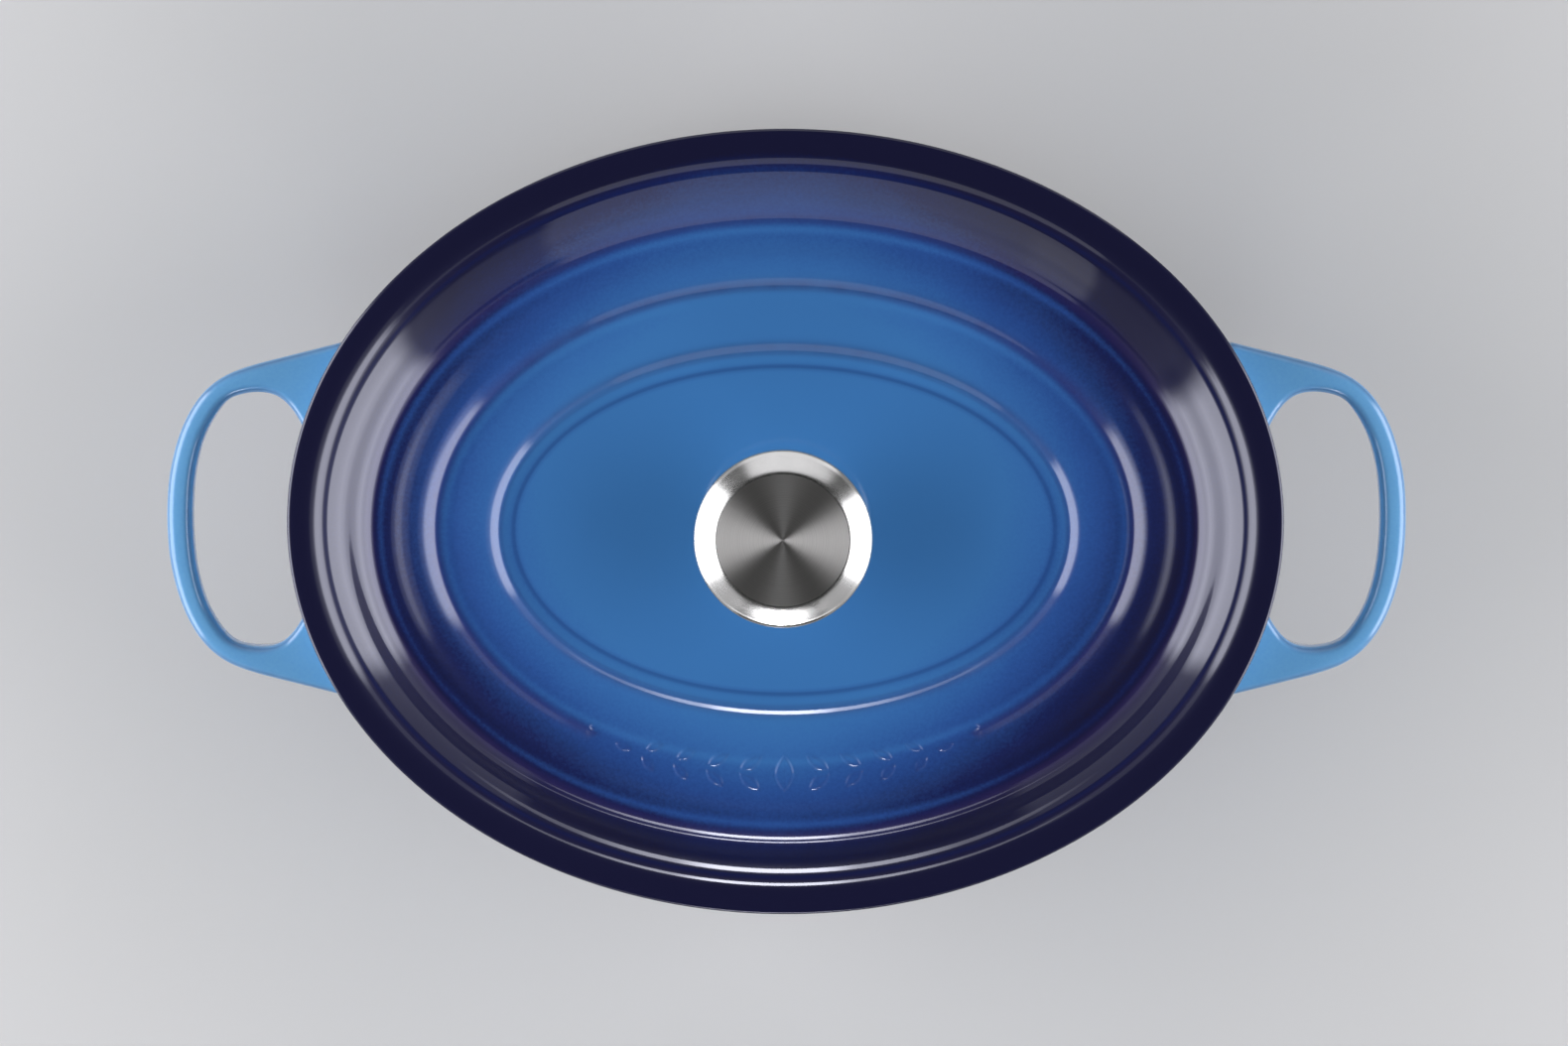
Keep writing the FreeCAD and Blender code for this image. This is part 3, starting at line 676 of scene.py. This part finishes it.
def coloured_enamel():
    """Glossy enamel, sprayed from azure to indigo, thin and reddish over crests, and darker blue in the
    valleys: partly thicker enamel, partly painted shade.
    """
    n = Nodes("blue_enamel")
    mottle = n.spread(n.noise(38.0, 4.0), -0.022, 0.022)
    mist = n.spread(n.noise(900.0, 2.0), -0.030, 0.030)
    tone = n.maths("ADD", n.maths("ADD", n.attribute("tone"), mottle), mist, clamp=True)
    colour = n.ramp(tone, BLUES)
    thin = n.maths("MULTIPLY", n.attribute("crest"), n.spread(n.noise(140.0, 3.0), 0.45, 1.0))
    colour = n.mix(n.maths("MULTIPLY", thin, 0.6), colour, srgb(44, 34, 80))
    # Darker blue in the crease and the valley: partly thicker enamel, partly painted shade.
    colour = n.mix(n.maths("MULTIPLY", n.attribute("deep_glaze_and_shade"), 0.5), colour, srgb(22, 40, 100))
    n.feed("Base Color", colour)
    n.set(Roughness=0.30, IOR=1.5, Specular_IOR_Level=0.12)
    n.set(Coat_Weight=1.0, Coat_Roughness=0.05, Coat_IOR=1.5)
    peel = n.bump(n.noise(170.0, 2.0, 0.4), 0.00006)
    n.feed("Normal", n.bump(n.noise(620.0, 2.0), 0.000012, normal=peel))
    return n.material


def matt_enamel():
    """The thin black coat where the castings rest on each other and on the stove."""
    n = Nodes("matt_black_enamel")
    n.feed("Base Color", n.ramp(n.noise(500.0, 4.0), [(0.3, srgb(24, 24, 26)), (0.7, srgb(44, 43, 44))]))
    n.feed("Roughness", n.spread(n.noise(240.0), 0.48, 0.66))
    n.set(IOR=1.5)
    n.feed("Normal", n.bump(n.noise(900.0, 4.0), 0.00008))
    return n.material


def pale_enamel():
    """Sand coloured enamel with fine brown specks, inside the pot and under the lid."""
    n = Nodes("sand_enamel")
    cloud = n.ramp(n.noise(22.0, 4.0), [(0.3, srgb(214, 201, 174)), (0.7, srgb(226, 215, 191))])
    specks = n.ramp(n.noise(1300.0, 2.0), [(0.30, srgb(150, 128, 96)), (0.36, (1, 1, 1, 1))])
    n.feed("Base Color", n.mix(0.6, cloud, specks, "MULTIPLY"))
    n.set(Roughness=0.26, IOR=1.5, Coat_Weight=0.8, Coat_Roughness=0.08)
    n.feed("Normal", n.bump(n.noise(150.0, 2.0, 0.4), 0.00006))
    return n.material


def polished_steel():
    """Nearly a mirror, with faint turning marks around the stem."""
    n = Nodes("polished_steel")
    steel = [(0.3, srgb(232, 230, 217)), (0.7, srgb(243, 241, 228))]
    n.feed("Base Color", n.ramp(n.noise(60.0, 3.0), steel))
    n.set(Metallic=1.0)
    n.feed("Roughness", n.spread(n.noise(420.0, 3.0, 0.6, (1.0, 1.0, 6.0)), 0.15, 0.24))
    n.feed("Normal", n.bump(n.noise(1500.0, 2.0, 0.5, (0.4, 0.4, 3.0)), 0.000004))
    return n.material


def turned_steel():
    """Steel with fine rings around the Z axis, which spread a light across them into a fan."""
    n = Nodes("turned_steel")
    position = n.position()
    flat = n.add("ShaderNodeVectorMath", operation="MULTIPLY")
    flat.inputs[1].default_value = (1.0, 1.0, 0.0)
    n.link(position, flat.inputs[0])
    radius = n.add("ShaderNodeVectorMath", operation="LENGTH")
    n.link(flat.outputs[0], radius.inputs[0])
    rings = n.add("ShaderNodeTexNoise", noise_dimensions="1D")
    rings.inputs["Scale"].default_value = 5200.0
    rings.inputs["Detail"].default_value = 4.0
    n.link(radius.outputs["Value"], rings.inputs["W"])
    steel = [(0.3, srgb(200, 197, 185)), (0.7, srgb(222, 219, 207))]
    n.feed("Base Color", n.ramp(rings.outputs["Fac"], steel))
    n.feed("Roughness", n.spread(rings.outputs["Fac"], 0.29, 0.43))
    n.set(Metallic=1.0, Anisotropic=0.86, Anisotropic_Rotation=0.25)
    tangent = n.add("ShaderNodeTangent", direction_type="RADIAL", axis="Z")
    n.feed("Tangent", tangent.outputs["Tangent"])
    n.feed("Normal", n.bump(rings.outputs["Fac"], 0.000004))
    return n.material


def plated_steel():
    """Dull grey plating, for the screw and its washers."""
    n = Nodes("zinc_plated_steel")
    zinc = [(0.3, srgb(150, 150, 146)), (0.7, srgb(186, 187, 183))]
    n.feed("Base Color", n.ramp(n.noise(300.0, 4.0), zinc))
    n.feed("Roughness", n.spread(n.noise(800.0), 0.24, 0.42))
    n.set(Metallic=1.0)
    n.feed("Normal", n.bump(n.noise(1800.0), 0.00002))
    return n.material


def dress(piece, *materials):
    """Gives a piece its materials, in the order of its faces' material numbers."""
    for material in materials:
        piece.data.materials.append(material)


lid, pot = make_lid(), make_pot()
knob_top, knob_stem = make_knob()
enamel, matt, pale = coloured_enamel(), matt_enamel(), pale_enamel()
polished, turned, plated = polished_steel(), turned_steel(), plated_steel()
for casting in (lid, pot):
    dress(casting, enamel, matt, pale)
dress(knob_top, turned, polished)
dress(knob_stem, polished)
for node, finish in (
    ("pot", enamel),
    ("lid", enamel),
    ("knob_cap", polished),
    ("knob_body", polished),
    ("knob_core", turned),
    ("knob_seat_washer", turned),
    ("knob_screw", plated),
    ("flat_washer", plated),
    ("lock_washer", plated),
):
    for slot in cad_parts[node].material_slots:
        slot.material = finish


# ---------------------------------------------------------------- studio, in metres
LAMP_COLOUR = (0.97, 0.98, 1.13)
DIM_SURROUNDINGS = (0.018, 0.019, 0.020, 1.0)  # what the object mirrors and is lit by, between the lamps
BACKDROP = (0.56, 0.57, 0.58, 1.0)  # what the camera sees
FLOOR_RADIUS = 1.2
SENSOR_WIDTH, FOCAL_LENGTH = 36.0, 83.0506  # in millimetres
CAMERA_PLACE = (0.0128, 0.1065, 1.322)
CAMERA_TURN = (-0.0885, 0.0109)  # from looking straight down, about X and about Y, in radians


def fade(nodes, links, source, stops):
    """A lamp's brightness across one of its sides, from (place from 0 to 1, brightness) stops."""
    curve = nodes.new("ShaderNodeValToRGB")
    curve.color_ramp.interpolation = "EASE"
    points = curve.color_ramp.elements
    while len(points) < len(stops):
        points.new(0.5)
    for point, (place, level) in zip(points, stops):
        point.position, point.color = place, (level, level, level, 1.0)
    links.new(source, curve.inputs["Fac"])
    return curve.outputs["Color"]


def softbox(name, place, target, width, height, radiance, across, upwards):
    """A rectangular lamp of so many metres, turned to face a point, that fades towards its ends.

    A radiance of 1.0 is the brightness of lit white paper.
    """
    data = bpy.data.lights.new(name, "AREA")
    data.shape, data.size, data.size_y = "RECTANGLE", width, height
    data.energy = radiance * math.pi * width * height
    data.color = LAMP_COLOUR
    data.use_nodes = True
    nodes, links = data.node_tree.nodes, data.node_tree.links
    split = nodes.new("ShaderNodeSeparateXYZ")
    links.new(nodes.new("ShaderNodeNewGeometry").outputs["Parametric"], split.inputs[0])
    product = nodes.new("ShaderNodeMath")
    product.operation = "MULTIPLY"
    links.new(fade(nodes, links, split.outputs["X"], across), product.inputs[0])
    links.new(fade(nodes, links, split.outputs["Y"], upwards), product.inputs[1])
    links.new(product.outputs[0], nodes["Emission"].inputs["Strength"])
    lamp = bpy.data.objects.new(name, data)
    way = Matrix.Translation(place).to_translation() - Matrix.Translation(target).to_translation()
    lamp.rotation_mode = "QUATERNION"
    lamp.rotation_quaternion = way.to_track_quat("Z", "Y")
    lamp.location = place
    lamp.visible_camera = False
    bpy.context.scene.collection.objects.link(lamp)


def make_floor():
    """Pale paper that fades out towards the backdrop, a metre away."""
    mesh = bpy.data.meshes.new("floor")
    turns = [math.radians(degrees) for degrees in range(0, 360, 6)]
    ring = [(FLOOR_RADIUS * math.cos(turn), FLOOR_RADIUS * math.sin(turn), 0.0) for turn in turns]
    mesh.from_pydata(ring, [], [range(len(ring))])
    floor = bpy.data.objects.new("floor", mesh)
    bpy.context.scene.collection.objects.link(floor)
    n = Nodes("floor_paper")
    paper = [(0.3, srgb(190, 189, 179)), (0.7, srgb(194, 193, 183))]
    n.feed("Base Color", n.ramp(n.noise(3.0, 2.0), paper))
    n.set(Roughness=0.9)
    radius = n.add("ShaderNodeVectorMath", operation="LENGTH")
    n.link(n.position(), radius.inputs[0])
    solid_to_clear = [(0.42, (1, 1, 1, 1)), (0.9, (0, 0, 0, 1))]
    n.feed("Alpha", n.ramp(n.spread(radius.outputs["Value"], 0.0, 1.0), solid_to_clear))
    mesh.materials.append(n.material)


def make_studio():
    """Two big side boxes, a low back box, a thin front strip and weak fills between them, on a dim world."""
    even = [(0.0, 0.0), (0.12, 1.0), (0.88, 1.0), (1.0, 0.0)]
    softbox("side_box_right", (0.95, -0.085, 0.82), (0, -0.085, 0.82), 1.14, 1.58, 5.8, even,
            [(0.0, 0.5), (0.08, 0.8), (0.17, 1.0), (0.52, 0.95), (0.66, 0.3), (0.80, 0.1), (1.0, 0.0)])
    softbox("side_box_left", (-0.95, 0.0, 1.015), (0, 0, 1.015), 1.32, 1.97, 5.8, even,
            [(0.0, 0.5), (0.06, 0.8), (0.14, 1.0), (0.42, 0.95), (0.53, 0.3), (0.66, 0.11), (1.0, 0.05)])
    sharp = [(0.0, 0.0), (0.05, 1.0), (0.95, 1.0), (1.0, 0.0)]
    softbox("back_box", (0.16, 1.1, 0.66), (0.16, 0, 0.66), 1.72, 1.24, 0.85, sharp,
            [(0.0, 0.6), (0.12, 0.9), (0.90, 1.0), (1.0, 0.0)])
    tail = [(0.0, 0.0), (0.25, 0.1), (0.39, 0.35), (0.45, 1.0)]
    tails = tail + [(1.0 - place, level) for place, level in tail[::-1]]
    softbox("front_strip", (-0.05, -1.1, 0.63), (-0.05, 0, 0.63), 1.8, 0.12, 20.0, tails,
            [(0.0, 1.0), (1.0, 1.0)])
    low = [(0.0, 1.0), (0.85, 1.0), (1.0, 0.0)]
    for name, x, y, radiance in (("front_left", -0.95, -0.95, 0.45), ("front_right", 0.85, -0.95, 0.40),
                                 ("back_left", -0.95, 0.95, 0.34), ("back_right", 0.98, 0.95, 0.18)):
        softbox(f"{name}_fill", (x, y, 0.55), (0, 0, 0.55), 0.80, 1.06, radiance, even, low)
    world = bpy.data.worlds.new("studio")
    world.use_nodes = True
    nodes, links = world.node_tree.nodes, world.node_tree.links
    seen = nodes.new("ShaderNodeLightPath")
    backdrop = nodes.new("ShaderNodeMix")
    backdrop.data_type = "RGBA"
    links.new(seen.outputs["Is Camera Ray"], backdrop.inputs["Factor"])
    backdrop.inputs["A"].default_value = DIM_SURROUNDINGS
    backdrop.inputs["B"].default_value = BACKDROP
    links.new(backdrop.outputs["Result"], nodes["Background"].inputs["Color"])
    bpy.context.scene.world = world


def make_camera():
    """Straight above the lid, a little towards the back."""
    data = bpy.data.cameras.new("camera")
    data.sensor_width, data.lens = SENSOR_WIDTH, FOCAL_LENGTH
    data.clip_start, data.clip_end = 0.05, 50.0
    camera = bpy.data.objects.new("camera", data)
    bpy.context.scene.collection.objects.link(camera)
    turn = Matrix.Rotation(CAMERA_TURN[0], 4, "X") @ Matrix.Rotation(CAMERA_TURN[1], 4, "Y")
    camera.matrix_world = Matrix.Translation(CAMERA_PLACE) @ turn
    bpy.context.scene.camera = camera


make_floor()
make_studio()
make_camera()
bpy.context.scene.view_settings.view_transform = "Standard"
bpy.context.scene.view_settings.look = "None"
